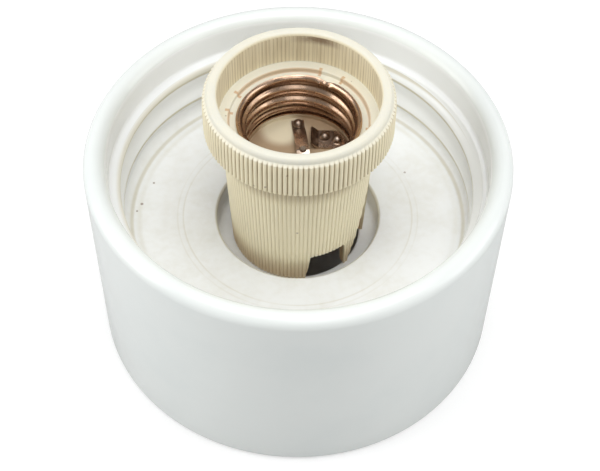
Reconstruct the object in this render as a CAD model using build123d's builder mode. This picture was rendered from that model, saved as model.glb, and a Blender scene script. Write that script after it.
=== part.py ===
from build123d import *
from math import asin, cos, pi, radians, sin
import os

# A white glazed porcelain base for a screw-neck glass globe, with a cream ceramic
# lamp holder standing in the recess of its floor.
# Millimetres. The origin is the centre of the foot ring, +Z is up, -Y is the front.

# Porcelain base
BASE_R = 50.0            # outer radius of the straight wall
RIM_Z = 57.2             # top of the rim, which is rounded all over
RIM_ROUND = 2.55
FOOT_ROUND = 1.5
CAVITY_R = 44.0          # open underside
ENTRY_R = 44.8           # plain band that the neck of the globe enters through
SHELF_Z = 48.9           # outer edge of the shelf below that band
SHELF_DROP = 0.9         # how much the shelf falls towards the thread
FLOOR_Z = 33.5           # top of the floor
FLOOR_T = 6.5
FLOOR_FILLET = 2.2
HOLE_R = 19.8            # recess in the floor round the holder
LEDGE_Z = 27.7           # ledge in the recess, on which the holder stands
SEAT_R = 15.2            # hole through the ledge
BOSS_R = 26.0            # thick boss under the ledge
BOSS_Z = 21.5

# Globe thread: one right-handed rounded groove between narrow crests
GLOBE_CREST_R = 41.8
GLOBE_GROOVE_DEPTH = 1.95
GLOBE_GROOVE_HALF = 3.75  # half the groove's height at its mouth
GLOBE_PITCH = 8.0
GLOBE_TOP_Z = 55.0       # middle of the groove at its upper end, in the open
GLOBE_TOP_ANGLE = 296.0  # azimuth of that end
GLOBE_TURNS = 3.05

# Lamp holder body
FOOT_R = 16.1            # foot of the body, standing on the ledge
NECK_R = 17.9            # body just under the collar
BODY_BORE_R = 14.0
BODY_RIBS = 110
BODY_RIB_DEPTH = 0.28
COLLAR_Z = 65.1
COLLAR_R = 21.75         # over the ribs
COLLAR_RIBS = 120
COLLAR_RIB_DEPTH = 0.45
RIB_TOP_Z = 74.3
TOP_Z = 75.8
COLLAR_BORE_R = 18.3
LIP_ROUND = 1.0
RING_Z = 67.0            # raised ring inside the collar
RING_R = 16.0
STEP_Z = 66.0            # step inside the ring, round the threaded shell
RING_NOTCHES = (62.5, 162.0, 242.5, 342.0)
NOTCH_SWEEP = 20.0
WELL_LEDGE_Z = 55.0      # ledge under the threaded shell
WELL_R = 12.5
WELL_FLOOR_Z = 54.0
WELL_UNDER_Z = 47.0
SLOT_AT = (-10.2, 6.8)   # slot in the floor of the well, left of the contacts
SLOT_ANGLE = 56.0
SLOT_LENGTH = 4.4
SLOT_WIDTH = 1.3

# Openings in the side of the body, each made twice, half a turn apart
NOTCH_AZIMUTH = -63.0    # low notch for a wire
NOTCH_TOP_Z = 36.4
NOTCH_FOOT_HALF = 5.5
NOTCH_TOP_HALF = 4.4
WINDOW_AZIMUTH = -22.0   # tall window with a slanting front edge
WINDOW_TOP_Z = 60.0
WINDOW_EDGE = ((-5.1, 26.0), (-4.9, 29.0), (-2.6, 35.0), (0.4, 45.0), (2.9, 56.0), (3.8, 60.0))
WINDOW_BACK_FOOT = 5.5
WINDOW_BACK_TOP = 6.4

# Screws that hold the holder down
SCREW_AZIMUTH = 60.0
SCREW_PITCH_R = 11.9
SCREW_R = 1.5
NUT_AF = 5.5
NUT_T = 2.4
NUT_Z = 40.0
LUG_FACE_R = 9.4         # inner face of the ceramic lugs that carry the nuts
LUG_HALF = 3.6
LUG_FOOT_Z = 30.0
LUG_TOP_Z = 45.0

# Lamp thread shell
SHELL_PITCH = 3.63
SHELL_CREST_R = 12.35
SHELL_GROOVE_DEPTH = 1.05
SHELL_GROOVE_HALF = 1.66
SHELL_START_AZIMUTH = 62.0
SHELL_OUTER_R = 13.85
SHELL_LIP_R = 14.15
SHELL_LIP_Z = 66.7
SHELL_FOOT_Z = 55.0
SHELL_FOOT_R = 13.4      # plain end under the last turn
SHELL_FOOT_H = 2.2

# Contacts
CENTRE_RIVET = (-0.2, 9.7)
PRESS_GAP = 0.18         # play for the spring at its rivet
STRIP_T = 0.4
LEAF_ANGLE = -83.0       # azimuth that the sprung leaf points to
LEAF_WIDTH = 3.0
LEAF_DIMPLE_AT = 9.8     # contact dimple, measured along the leaf
SIDE_RIVETS = ((6.1, 6.0), (9.1, 5.1))
SIDE_T = 0.5
SIDE_PLATE_Y = (8.0, 2.5)  # back and front edge of the side contact's plate
SIDE_TAIL_Y = (3.0, 0.8)   # the same of its tail
RIVET_R = 0.9
RIVET_HOLE_R = 1.0
RIVET_HEAD_R = 1.35
RIVET_HEAD_H = 1.15
RIVET_FOOT_R = 1.5
RIVET_FOOT_T = 0.8
TERMINAL_AZIMUTH = -22.0
TERMINAL_PITCH_R = 8.6
BLOCK = 6.6              # side of a terminal's square pillar
BLOCK_H = 8.0
PAD_R = 2.1              # round end of its plate at a rivet
WIRE_R = 1.7
WIRE_DROP = 3.4          # wire hole below the plate
TERMINAL_HEAD_R = 2.7
TERMINAL_HEAD_H = 2.0
TERMINAL_SHANK = 4.6
PLATE_T = 0.8

# Mounting bracket
BRACKET_T = 1.5
BRACKET_WIDTH = 16.0
BRACKET_HALF = 41.0      # half the length over its feet
BRACKET_FOOT_X = 27.5    # where the feet fold up
BRACKET_TOP_X = 23.5     # where the raised middle starts
BRACKET_FOLD_R = 1.6
BRACKET_CORNER_R = 3.0
BRACKET_DISC_R = 18.0
WIRE_HOLE_R = 6.0
KEYHOLE_X = 34.0
KEYHOLE_HEAD_Y = 3.0
KEYHOLE_HEAD_R = 4.0
KEYHOLE_SLOT_Y = -0.75
KEYHOLE_SLOT_LENGTH = 12.1
KEYHOLE_SLOT_WIDTH = 4.6
WALL_Z = 0.6
WASHER_R = 3.3
WASHER_T = 0.6
BRACKET_HEAD_R = 2.9
BRACKET_HEAD_H = 2.1
BRACKET_SHANK = 24.5

os.makedirs("parts", exist_ok=True)


def upright(azimuth):
    """Plane through the axis that faces outwards at an azimuth, with its y axis up."""
    a = radians(azimuth)
    return Plane(origin=(0, 0, 0), x_dir=(-sin(a), cos(a), 0), z_dir=(cos(a), sin(a), 0))


def around(azimuth, r):
    """Point at a radius and an azimuth."""
    return (r * cos(radians(azimuth)), r * sin(radians(azimuth)))


def ribbed_outline(radius, depth, count):
    """Points round a ribbed circle: flat-topped ribs parted by narrow V grooves."""
    points = []
    step = 2 * pi / count
    for i in range(count):
        for share, r in ((0.0, radius), (0.58, radius), (0.79, radius - depth)):
            a = (i + share) * step
            points.append((r * cos(a), r * sin(a)))
    return points


def nearest(sketch, r, z):
    """The corner of a section nearest to a radius and a height."""
    return sketch.vertices().sort_by_distance((r, z, 0))[0]


# Porcelain base: wall first, then the thread, then the floor, whose fillet ends the thread
groove_start = Plane.XY.rotated((0, 0, GLOBE_TOP_ANGLE - 360 * GLOBE_TURNS)).offset(
    GLOBE_TOP_Z - GLOBE_PITCH * GLOBE_TURNS
)
with BuildLine(groove_start) as globe_helix:
    Helix(pitch=GLOBE_PITCH, height=GLOBE_PITCH * GLOBE_TURNS, radius=GLOBE_CREST_R)

with BuildPart() as porcelain_base:
    with BuildSketch(Plane.XZ) as wall_section:
        with BuildLine():
            Polyline(
                (CAVITY_R, 0),
                (BASE_R, 0),
                (BASE_R, RIM_Z),
                (ENTRY_R, RIM_Z),
                (ENTRY_R, SHELF_Z),
                (GLOBE_CREST_R, SHELF_Z - SHELF_DROP),
                (GLOBE_CREST_R, FLOOR_Z - 3),
                (CAVITY_R, FLOOR_Z - 3),
                close=True,
            )
        make_face()
        fillet(nearest(wall_section, BASE_R, RIM_Z), RIM_ROUND)
        fillet(nearest(wall_section, ENTRY_R, RIM_Z), RIM_ROUND)
        fillet(nearest(wall_section, BASE_R, 0), FOOT_ROUND)
        fillet(nearest(wall_section, CAVITY_R, 0), 1.0)
        fillet(nearest(wall_section, GLOBE_CREST_R, SHELF_Z - SHELF_DROP), 0.7)
        fillet(nearest(wall_section, ENTRY_R, SHELF_Z), 0.8)
    revolve(axis=Axis.Z)

    start = globe_helix.line @ 0
    outward = Vector(start.X, start.Y, 0).normalized()
    across = Plane(origin=start, x_dir=outward, z_dir=outward.cross(Vector(0, 0, 1)))
    with BuildSketch(across) as groove_section:
        with BuildLine():
            Spline(
                (-0.25, -GLOBE_GROOVE_HALF),
                (0.4, -3.05),
                (1.65, -0.4),
                (GLOBE_GROOVE_DEPTH, 0.8),
                (1.6, 2.0),
                (0.4, 3.2),
                (-0.25, GLOBE_GROOVE_HALF),
            )
            Polyline(
                (-0.25, GLOBE_GROOVE_HALF),
                (-0.6, GLOBE_GROOVE_HALF),
                (-0.6, -GLOBE_GROOVE_HALF),
                (-0.25, -GLOBE_GROOVE_HALF),
            )
        make_face()
    sweep(path=globe_helix.line, is_frenet=True, mode=Mode.SUBTRACT)

    with BuildSketch(Plane.XZ) as floor_section:
        with BuildLine():
            Polyline(
                (SEAT_R, BOSS_Z),
                (BOSS_R, BOSS_Z),
                (BOSS_R, FLOOR_Z - FLOOR_T),
                (CAVITY_R, FLOOR_Z - FLOOR_T),
                (CAVITY_R, FLOOR_Z - FLOOR_T - 4),
                (CAVITY_R + 1.5, FLOOR_Z - FLOOR_T - 4),
                (CAVITY_R + 1.5, FLOOR_Z + FLOOR_FILLET),
                (GLOBE_CREST_R + 0.6, FLOOR_Z + FLOOR_FILLET),
                (GLOBE_CREST_R + 0.6, FLOOR_Z),
                (HOLE_R, FLOOR_Z),
                (HOLE_R, LEDGE_Z),
                (SEAT_R, LEDGE_Z),
                close=True,
            )
        make_face()
        fillet(nearest(floor_section, GLOBE_CREST_R + 0.6, FLOOR_Z), FLOOR_FILLET - 0.1)
        fillet(nearest(floor_section, HOLE_R, FLOOR_Z), 0.8)
        fillet(nearest(floor_section, HOLE_R, LEDGE_Z), 0.6)
        fillet(nearest(floor_section, SEAT_R, LEDGE_Z), 0.5)
        fillet(nearest(floor_section, BOSS_R, BOSS_Z), 1.2)
        fillet(nearest(floor_section, BOSS_R, FLOOR_Z - FLOOR_T), 2.0)
        fillet(nearest(floor_section, CAVITY_R, FLOOR_Z - FLOOR_T), 3.0)
    revolve(axis=Axis.Z)
porcelain_base.part.label = "porcelain_base"
export_step(porcelain_base.part, "parts/porcelain_base.step")


# Lamp holder body: one ceramic piece with a ribbed tapering skirt and a ribbed collar
with BuildPart() as holder_body:
    with BuildSketch(Plane.XY.offset(LEDGE_Z)):
        with BuildLine():
            Polyline(*ribbed_outline(FOOT_R, BODY_RIB_DEPTH, BODY_RIBS), close=True)
        make_face()
    with BuildSketch(Plane.XY.offset(COLLAR_Z + 0.4)):
        with BuildLine():
            Polyline(*ribbed_outline(NECK_R, BODY_RIB_DEPTH, BODY_RIBS), close=True)
        make_face()
    loft(ruled=True)

    with BuildSketch(Plane.XY.offset(COLLAR_Z)):
        with BuildLine():
            Polyline(*ribbed_outline(COLLAR_R, COLLAR_RIB_DEPTH, COLLAR_RIBS), close=True)
        make_face()
    extrude(amount=RIB_TOP_Z - COLLAR_Z)
    with BuildSketch(Plane.XZ) as rim_section:
        with BuildLine():
            Polyline(
                (0, RIB_TOP_Z - 1),
                (COLLAR_R - COLLAR_RIB_DEPTH, RIB_TOP_Z - 1),
                (COLLAR_R - COLLAR_RIB_DEPTH, TOP_Z),
                (0, TOP_Z),
                close=True,
            )
        make_face()
        fillet(nearest(rim_section, COLLAR_R, TOP_Z), LIP_ROUND)
    revolve(axis=Axis.Z)

    # Collar bore, ring, step, threaded-shell bore, well floor and the hollow skirt
    with BuildSketch(Plane.XZ) as bore_section:
        with BuildLine():
            Polyline(
                (0, WELL_FLOOR_Z),
                (WELL_R, WELL_FLOOR_Z),
                (WELL_R, WELL_LEDGE_Z),
                (BODY_BORE_R, WELL_LEDGE_Z),
                (BODY_BORE_R, STEP_Z),
                (RING_R, STEP_Z),
                (RING_R, RING_Z),
                (COLLAR_BORE_R, RING_Z),
                (COLLAR_BORE_R, TOP_Z - 1.1),
                (COLLAR_BORE_R + 0.3, TOP_Z - 0.4),
                (COLLAR_BORE_R + 1.0, TOP_Z + 0.1),
                (0, TOP_Z + 0.1),
                close=True,
            )
        make_face()
    revolve(axis=Axis.Z, mode=Mode.SUBTRACT)
    with BuildSketch(Plane.XY.offset(LEDGE_Z - 1)):
        Circle(BODY_BORE_R)
    extrude(amount=WELL_UNDER_Z - LEDGE_Z + 1, mode=Mode.SUBTRACT)

    # Gaps in the raised ring
    for azimuth in RING_NOTCHES:
        a = radians(NOTCH_SWEEP / 2)
        with BuildSketch(Plane.XY.rotated((0, 0, azimuth)).offset(STEP_Z)):
            with BuildLine():
                Polyline(
                    (RING_R - 0.5, -(RING_R - 0.5) * sin(a)),
                    (COLLAR_BORE_R * cos(a), -COLLAR_BORE_R * sin(a)),
                    (COLLAR_BORE_R, 0),
                    (COLLAR_BORE_R * cos(a), COLLAR_BORE_R * sin(a)),
                    (RING_R - 0.5, (RING_R - 0.5) * sin(a)),
                    close=True,
                )
            make_face()
        extrude(amount=RING_Z - STEP_Z, mode=Mode.SUBTRACT)

    # Lugs inside the skirt that carry the nuts
    for azimuth in (SCREW_AZIMUTH, SCREW_AZIMUTH + 180):
        lug_depth = BODY_BORE_R + 0.8 - LUG_FACE_R
        with BuildSketch(Plane.XY.rotated((0, 0, azimuth)).offset(LUG_FOOT_Z)) as lug_foot:
            with Locations((LUG_FACE_R + lug_depth / 2, 0)):
                Rectangle(lug_depth, 2 * LUG_HALF)
            fillet(lug_foot.vertices().group_by(Axis.X)[0], 0.8)
        extrude(amount=LUG_TOP_Z - LUG_FOOT_Z)
        with BuildSketch(Plane.XY.rotated((0, 0, azimuth)).offset(LUG_FOOT_Z)):
            with Locations((SCREW_PITCH_R, 0)):
                Circle(SCREW_R + 0.2)
        extrude(amount=LUG_TOP_Z - LUG_FOOT_Z, mode=Mode.SUBTRACT)
        with BuildSketch(Plane.XY.rotated((0, 0, azimuth)).offset(NUT_Z - 0.1)):
            with Locations((SCREW_PITCH_R - 0.6, 0)):
                Rectangle(NUT_AF + 2.4, NUT_AF + 0.2)
        extrude(amount=NUT_T + 0.3, mode=Mode.SUBTRACT)

    # Rivet holes and a slot through the floor of the well
    with BuildSketch(Plane.XY.offset(WELL_UNDER_Z - 0.5)):
        with Locations(CENTRE_RIVET, *SIDE_RIVETS):
            Circle(RIVET_HOLE_R)
        with Locations(Location((*SLOT_AT, 0), (0, 0, SLOT_ANGLE))):
            SlotOverall(SLOT_LENGTH, SLOT_WIDTH, rotation=90)
    extrude(amount=WELL_FLOOR_Z - WELL_UNDER_Z + 1, mode=Mode.SUBTRACT)

    # Wire notch at the foot and tall side window
    for half_turn in (0, 180):
        with BuildSketch(upright(NOTCH_AZIMUTH + half_turn)) as wire_notch:
            with BuildLine():
                Polyline(
                    (-NOTCH_FOOT_HALF, LEDGE_Z - 1),
                    (NOTCH_FOOT_HALF - 0.4, LEDGE_Z - 1),
                    (NOTCH_TOP_HALF + 0.3, NOTCH_TOP_Z),
                    (-NOTCH_TOP_HALF, NOTCH_TOP_Z),
                    close=True,
                )
            make_face()
            fillet(wire_notch.vertices().group_by(Axis.Y)[-1], 0.7)
        extrude(amount=NECK_R + 1, mode=Mode.SUBTRACT)
        with BuildSketch(upright(WINDOW_AZIMUTH + half_turn).offset(BODY_BORE_R - 0.5)):
            with BuildLine():
                Spline(*WINDOW_EDGE)
                Polyline(
                    WINDOW_EDGE[-1],
                    (WINDOW_BACK_TOP, WINDOW_TOP_Z),
                    (WINDOW_BACK_FOOT, WINDOW_EDGE[0][1]),
                    WINDOW_EDGE[0],
                )
            make_face()
        extrude(amount=NECK_R - BODY_BORE_R + 1.5, mode=Mode.SUBTRACT)
holder_body.part.label = "holder_body"
export_step(holder_body.part, "parts/holder_body.step")


# Threaded shell that the lamp screws into
shell_turns = (SHELL_LIP_Z + 1.0 - SHELL_FOOT_Z) / SHELL_PITCH
with BuildLine(Plane.XY.rotated((0, 0, SHELL_START_AZIMUTH)).offset(SHELL_FOOT_Z - 1.2)) as lamp_helix:
    Helix(pitch=SHELL_PITCH, height=SHELL_PITCH * shell_turns, radius=SHELL_CREST_R)

with BuildPart() as thread_shell:
    with BuildSketch(Plane.XZ) as shell_section:
        with BuildLine():
            Polyline(
                (SHELL_CREST_R, SHELL_FOOT_Z + SHELL_FOOT_H),
                (SHELL_FOOT_R, SHELL_FOOT_Z + SHELL_FOOT_H - 0.5),
                (SHELL_FOOT_R, SHELL_FOOT_Z),
                (SHELL_OUTER_R, SHELL_FOOT_Z),
                (SHELL_OUTER_R, STEP_Z + 0.05),
                (SHELL_LIP_R, STEP_Z + 0.05),
                (SHELL_LIP_R, SHELL_LIP_Z),
                (SHELL_LIP_R - 0.7, SHELL_LIP_Z),
                (SHELL_CREST_R, SHELL_LIP_Z - 1.9),
                close=True,
            )
        make_face()
        fillet(nearest(shell_section, SHELL_LIP_R, SHELL_LIP_Z), 0.25)
    revolve(axis=Axis.Z)
    shell_start = lamp_helix.line @ 0
    shell_out = Vector(shell_start.X, shell_start.Y, 0).normalized()
    shell_across = Plane(origin=shell_start, x_dir=shell_out, z_dir=shell_out.cross(Vector(0, 0, 1)))
    with BuildSketch(shell_across):
        with BuildLine():
            Spline(
                (-0.12, -SHELL_GROOVE_HALF),
                (0.2, -1.35),
                (0.85, -0.6),
                (SHELL_GROOVE_DEPTH, 0),
                (0.85, 0.6),
                (0.2, 1.35),
                (-0.12, SHELL_GROOVE_HALF),
            )
            Polyline(
                (-0.12, SHELL_GROOVE_HALF),
                (-0.35, SHELL_GROOVE_HALF),
                (-0.35, -SHELL_GROOVE_HALF),
                (-0.12, -SHELL_GROOVE_HALF),
            )
        make_face()
    sweep(path=lamp_helix.line, is_frenet=True, mode=Mode.SUBTRACT)
thread_shell.part.label = "thread_shell"
export_step(thread_shell.part, "parts/thread_shell.step")


# Centre contact: a sprung leaf that rises from its rivet to the axis
leaf_dir = Vector(*around(LEAF_ANGLE, 1), 0)
leaf_plane = Plane(
    origin=(CENTRE_RIVET[0], CENTRE_RIVET[1], 0), x_dir=leaf_dir, z_dir=leaf_dir.cross(Vector(0, 0, 1))
)
leaf_z = WELL_FLOOR_Z + PRESS_GAP
with BuildPart() as centre_contact:
    with BuildSketch(leaf_plane):
        with BuildLine():
            FilletPolyline(
                (-1.4, leaf_z),
                (1.3, leaf_z),
                (6.0, leaf_z + 1.6),
                (10.0, leaf_z + 2.1),
                (12.2, leaf_z + 1.3),
                radius=0.9,
            )
            offset(amount=STRIP_T, side=Side.LEFT)
        make_face()
    extrude(amount=LEAF_WIDTH / 2, both=True)
    with BuildSketch(Plane.XY.offset(WELL_FLOOR_Z)):
        with Locations(CENTRE_RIVET):
            Circle(RIVET_R + 0.25)
    extrude(amount=1.5, mode=Mode.SUBTRACT)
    with BuildSketch(Plane.XY.offset(leaf_z + 2.35)):
        with Locations(leaf_plane.from_local_coords((LEAF_DIMPLE_AT, 0, 0))):
            Circle(0.9)
    extrude(amount=0.4, taper=25)
centre_contact.part.label = "centre_contact"
export_step(centre_contact.part, "parts/centre_contact.step")


def rivet(seat_z):
    """Rivet on the axis: its head sits at a height, its foot under a terminal plate."""
    top_z = seat_z + RIVET_HEAD_H
    dome_r = (RIVET_HEAD_R**2 + RIVET_HEAD_H**2) / (2 * RIVET_HEAD_H)
    half_way = 0.5 * asin(RIVET_HEAD_R / dome_r)
    foot_z = WELL_UNDER_Z - PLATE_T
    with BuildPart() as body:
        with BuildSketch(Plane.XZ):
            with BuildLine():
                Polyline(
                    (0, top_z),
                    (0, foot_z - RIVET_FOOT_T),
                    (RIVET_FOOT_R, foot_z - RIVET_FOOT_T),
                    (RIVET_FOOT_R, foot_z),
                    (RIVET_R, foot_z),
                    (RIVET_R, seat_z),
                    (RIVET_HEAD_R, seat_z),
                )
                ThreePointArc(
                    (RIVET_HEAD_R, seat_z),
                    (dome_r * sin(half_way), top_z - dome_r * (1 - cos(half_way))),
                    (0, top_z),
                )
            make_face()
        revolve(axis=Axis.Z)
    return body.part


centre_contact_rivet = Pos(*CENTRE_RIVET, 0) * rivet(leaf_z + STRIP_T + PRESS_GAP)
centre_contact_rivet.label = "centre_contact_rivet"
export_step(centre_contact_rivet, "parts/centre_contact_rivet.step")


# Side contact: a folded plate on the floor, with a tail that springs against the shell
with BuildPart() as shell_contact:
    with BuildSketch(Plane.XZ.offset(-SIDE_PLATE_Y[0])):
        with BuildLine():
            FilletPolyline(
                (2.8, WELL_FLOOR_Z + 1.5), (4.5, WELL_FLOOR_Z), (12.6, WELL_FLOOR_Z), radius=0.4
            )
            offset(amount=SIDE_T, side=Side.LEFT)
        make_face()
    extrude(amount=SIDE_PLATE_Y[0] - SIDE_PLATE_Y[1])
    with BuildSketch(Plane.XY.offset(WELL_FLOOR_Z - 0.5)):
        Circle(WELL_R - 0.1)
    extrude(amount=4, mode=Mode.INTERSECT)
    with BuildSketch(Plane.XZ.offset(-SIDE_TAIL_Y[0])):
        with BuildLine():
            FilletPolyline(
                (10.0, WELL_FLOOR_Z), (11.1, WELL_FLOOR_Z), (12.1, WELL_FLOOR_Z + 2.3), radius=0.3
            )
            offset(amount=SIDE_T, side=Side.LEFT)
        make_face()
    extrude(amount=SIDE_TAIL_Y[0] - SIDE_TAIL_Y[1])
    with BuildSketch(Plane.XY.offset(WELL_FLOOR_Z - 0.5)):
        with Locations(*SIDE_RIVETS):
            Circle(RIVET_R + 0.02)
    extrude(amount=2, mode=Mode.SUBTRACT)
shell_contact.part.label = "shell_contact"
export_step(shell_contact.part, "parts/shell_contact.step")

shell_contact_rivets = Compound([Pos(x, y, 0) * rivet(WELL_FLOOR_Z + SIDE_T) for x, y in SIDE_RIVETS])
shell_contact_rivets.label = "shell_contact_rivets"
export_step(shell_contact_rivets, "parts/shell_contact_rivets.step")


# Pillar terminals under the floor of the well
plate_z = WELL_UNDER_Z - PLATE_T
for name, azimuth, pads in (
    ("live_terminal", TERMINAL_AZIMUTH + 180, (CENTRE_RIVET,)),
    ("neutral_terminal", TERMINAL_AZIMUTH, SIDE_RIVETS),
):
    block_at = around(azimuth, TERMINAL_PITCH_R)
    with BuildPart() as terminal:
        with BuildSketch(Plane.XY.offset(plate_z)):
            with Locations(*pads):
                Circle(PAD_R)
            with Locations(block_at):
                Circle(2.6)
            make_hull()
        extrude(amount=PLATE_T)
        with BuildSketch(Plane.XY.rotated((0, 0, azimuth)).offset(plate_z - BLOCK_H)) as block_foot:
            with Locations((TERMINAL_PITCH_R, 0)):
                Rectangle(BLOCK, BLOCK)
            fillet(block_foot.vertices(), 0.8)
        extrude(amount=BLOCK_H)
        with BuildSketch(upright(azimuth)):
            with Locations((0, plate_z - WIRE_DROP)):
                Circle(WIRE_R)
        extrude(amount=BODY_BORE_R, mode=Mode.SUBTRACT)
        with BuildSketch(Plane.XY.offset(plate_z - BLOCK_H)):
            with Locations(block_at):
                Circle(SCREW_R + 0.02)
        extrude(amount=BLOCK_H - 4, mode=Mode.SUBTRACT)
        with BuildSketch(Plane.XY.offset(plate_z)):
            with Locations(*pads):
                Circle(RIVET_R + 0.02)
        extrude(amount=PLATE_T, mode=Mode.SUBTRACT)
    terminal.part.label = name
    export_step(terminal.part, "parts/" + name + ".step")


def slotted_screw(head_r, head_h, length):
    """Slotted cheese-head screw standing on its head, with the top of the head at the origin."""
    with BuildPart() as screw:
        Cylinder(head_r, head_h, align=(Align.CENTER, Align.CENTER, Align.MIN))
        fillet(screw.edges().group_by(Axis.Z)[0], 0.5)
        with Locations((0, 0, head_h)):
            Cylinder(SCREW_R, length, align=(Align.CENTER, Align.CENTER, Align.MIN))
        chamfer(screw.edges().group_by(Axis.Z)[-1], 0.3)
        with Locations((0, 0, 0)):
            Box(2 * head_r, 0.8, 2 * 0.45 * head_h, mode=Mode.SUBTRACT)
    return screw.part


terminal_screws = Compound(
    [
        Pos(*around(azimuth, TERMINAL_PITCH_R), plate_z - BLOCK_H - 0.8 - TERMINAL_HEAD_H)
        * Rot(0, 0, turn)
        * slotted_screw(TERMINAL_HEAD_R, TERMINAL_HEAD_H, TERMINAL_SHANK)
        for azimuth, turn in ((TERMINAL_AZIMUTH, 25), (TERMINAL_AZIMUTH + 180, 70))
    ]
)
terminal_screws.label = "terminal_screws"
export_step(terminal_screws, "parts/terminal_screws.step")


# Bracket behind the base: a hat-shaped strip with a round middle and keyholes for two wall screws
under_boss = BOSS_Z - BRACKET_T
with BuildPart() as mounting_bracket:
    with BuildSketch(Plane.XZ.offset(-BRACKET_WIDTH / 2)):
        with BuildLine():
            FilletPolyline(
                (-BRACKET_HALF, WALL_Z),
                (-BRACKET_FOOT_X, WALL_Z),
                (-BRACKET_TOP_X, under_boss),
                (BRACKET_TOP_X, under_boss),
                (BRACKET_FOOT_X, WALL_Z),
                (BRACKET_HALF, WALL_Z),
                radius=BRACKET_FOLD_R,
            )
            offset(amount=BRACKET_T, side=Side.LEFT)
        make_face()
    extrude(amount=BRACKET_WIDTH)
    with BuildSketch(Plane.XY.offset(under_boss)):
        Circle(BRACKET_DISC_R)
    extrude(amount=BRACKET_T)
    with BuildSketch(Plane.XY.offset(BOSS_Z - 2 * BRACKET_T)):
        Circle(WIRE_HOLE_R)
        with PolarLocations(SCREW_PITCH_R, 2, start_angle=SCREW_AZIMUTH):
            Circle(SCREW_R + 0.2)
    extrude(amount=3 * BRACKET_T, mode=Mode.SUBTRACT)
    with BuildSketch(Plane.XY):
        with Locations((-KEYHOLE_X, KEYHOLE_HEAD_Y), (KEYHOLE_X, KEYHOLE_HEAD_Y)):
            Circle(KEYHOLE_HEAD_R)
        with Locations((-KEYHOLE_X, KEYHOLE_SLOT_Y), (KEYHOLE_X, KEYHOLE_SLOT_Y)):
            SlotOverall(KEYHOLE_SLOT_LENGTH, KEYHOLE_SLOT_WIDTH, rotation=90)
    extrude(amount=5, mode=Mode.SUBTRACT)
    fillet(mounting_bracket.edges().filter_by(Axis.Z).group_by(Axis.X)[0], BRACKET_CORNER_R)
    fillet(mounting_bracket.edges().filter_by(Axis.Z).group_by(Axis.X)[-1], BRACKET_CORNER_R)
mounting_bracket.part.label = "mounting_bracket"
export_step(mounting_bracket.part, "parts/mounting_bracket.step")

screw_places = [around(a, SCREW_PITCH_R) for a in (SCREW_AZIMUTH, SCREW_AZIMUTH + 180)]
bracket_screws = Compound(
    [
        Pos(x, y, under_boss - WASHER_T - BRACKET_HEAD_H)
        * Rot(0, 0, turn)
        * slotted_screw(BRACKET_HEAD_R, BRACKET_HEAD_H, BRACKET_SHANK)
        for (x, y), turn in zip(screw_places, (35, 110))
    ]
)
bracket_screws.label = "bracket_screws"
export_step(bracket_screws, "parts/bracket_screws.step")

with BuildPart() as washer:
    with BuildSketch(Plane.XY.offset(under_boss - WASHER_T)):
        Circle(WASHER_R)
        Circle(SCREW_R + 0.1, mode=Mode.SUBTRACT)
    extrude(amount=WASHER_T)
bracket_washers = Compound([Pos(x, y, 0) * washer.part for x, y in screw_places])
bracket_washers.label = "bracket_washers"
export_step(bracket_washers, "parts/bracket_washers.step")

with BuildPart() as nut:
    with BuildSketch(Plane.XY.offset(NUT_Z)):
        RegularPolygon(NUT_AF / 2, 6, major_radius=False)
        Circle(SCREW_R + 0.02, mode=Mode.SUBTRACT)
    extrude(amount=NUT_T)
holder_nuts = Compound(
    [Pos(x, y, 0) * Rot(0, 0, SCREW_AZIMUTH) * nut.part for x, y in screw_places]
)
holder_nuts.label = "holder_nuts"
export_step(holder_nuts, "parts/holder_nuts.step")
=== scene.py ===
from math import atan2, cos, exp, floor, hypot, pi, radians, sin, tan

import bpy
from mathutils import Matrix, Vector


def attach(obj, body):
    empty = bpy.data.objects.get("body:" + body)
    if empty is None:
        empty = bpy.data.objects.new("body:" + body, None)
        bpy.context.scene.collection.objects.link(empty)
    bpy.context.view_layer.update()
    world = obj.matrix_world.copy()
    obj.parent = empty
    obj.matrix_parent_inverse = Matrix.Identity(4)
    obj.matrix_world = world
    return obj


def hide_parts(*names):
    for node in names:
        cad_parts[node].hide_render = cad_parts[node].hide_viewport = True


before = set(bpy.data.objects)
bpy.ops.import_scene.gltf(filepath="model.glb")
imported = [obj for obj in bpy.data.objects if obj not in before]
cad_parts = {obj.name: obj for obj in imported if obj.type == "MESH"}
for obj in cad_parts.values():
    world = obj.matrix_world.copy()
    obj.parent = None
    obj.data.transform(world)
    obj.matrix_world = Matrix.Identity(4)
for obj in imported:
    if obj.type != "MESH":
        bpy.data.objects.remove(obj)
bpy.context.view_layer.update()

bl_info = {
    "name": "Ceramic Lamp Holder",
    "version": (1, 0, 0),
    "blender": (4, 5, 0),
    "location": "View3D > Sidebar > Lamp Holder",
    "description": "Dresses the lamp holder and its glazed base on top of the packed frame",
    "category": "Mesh",
}

MM = 0.001
ROOT = "holder"

# Where the threads, openings and ribs are: angles in degrees round the axis from +X, heights in mm
GLOBE_TOP_Z = 55.0
GLOBE_TOP_ANGLE = 296.0
LAMP_START_ANGLE = 62.0
LAMP_START_Z = 53.8
LIP_DENT_ANGLE = 64.0
NOTCH_AZIMUTH = -63.0
WINDOW_AZIMUTH = -22.0
RING_NOTCHES = (62.5, 162.0, 242.5, 342.0)
RING_NOTCH_HALF = 10.2
SCREW_AZIMUTH = 60.0
COLLAR_RIBS = 120
SKIRT_RIBS = 110
BORE_RIBS = 125

# Thickness of the porcelain round the seat and of the floor, and radius of the raised ring's inner edge
BASE_WALL = 6.2 * MM
FLOOR_WALL = 6.5 * MM
RING_R = 16.0 * MM

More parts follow.
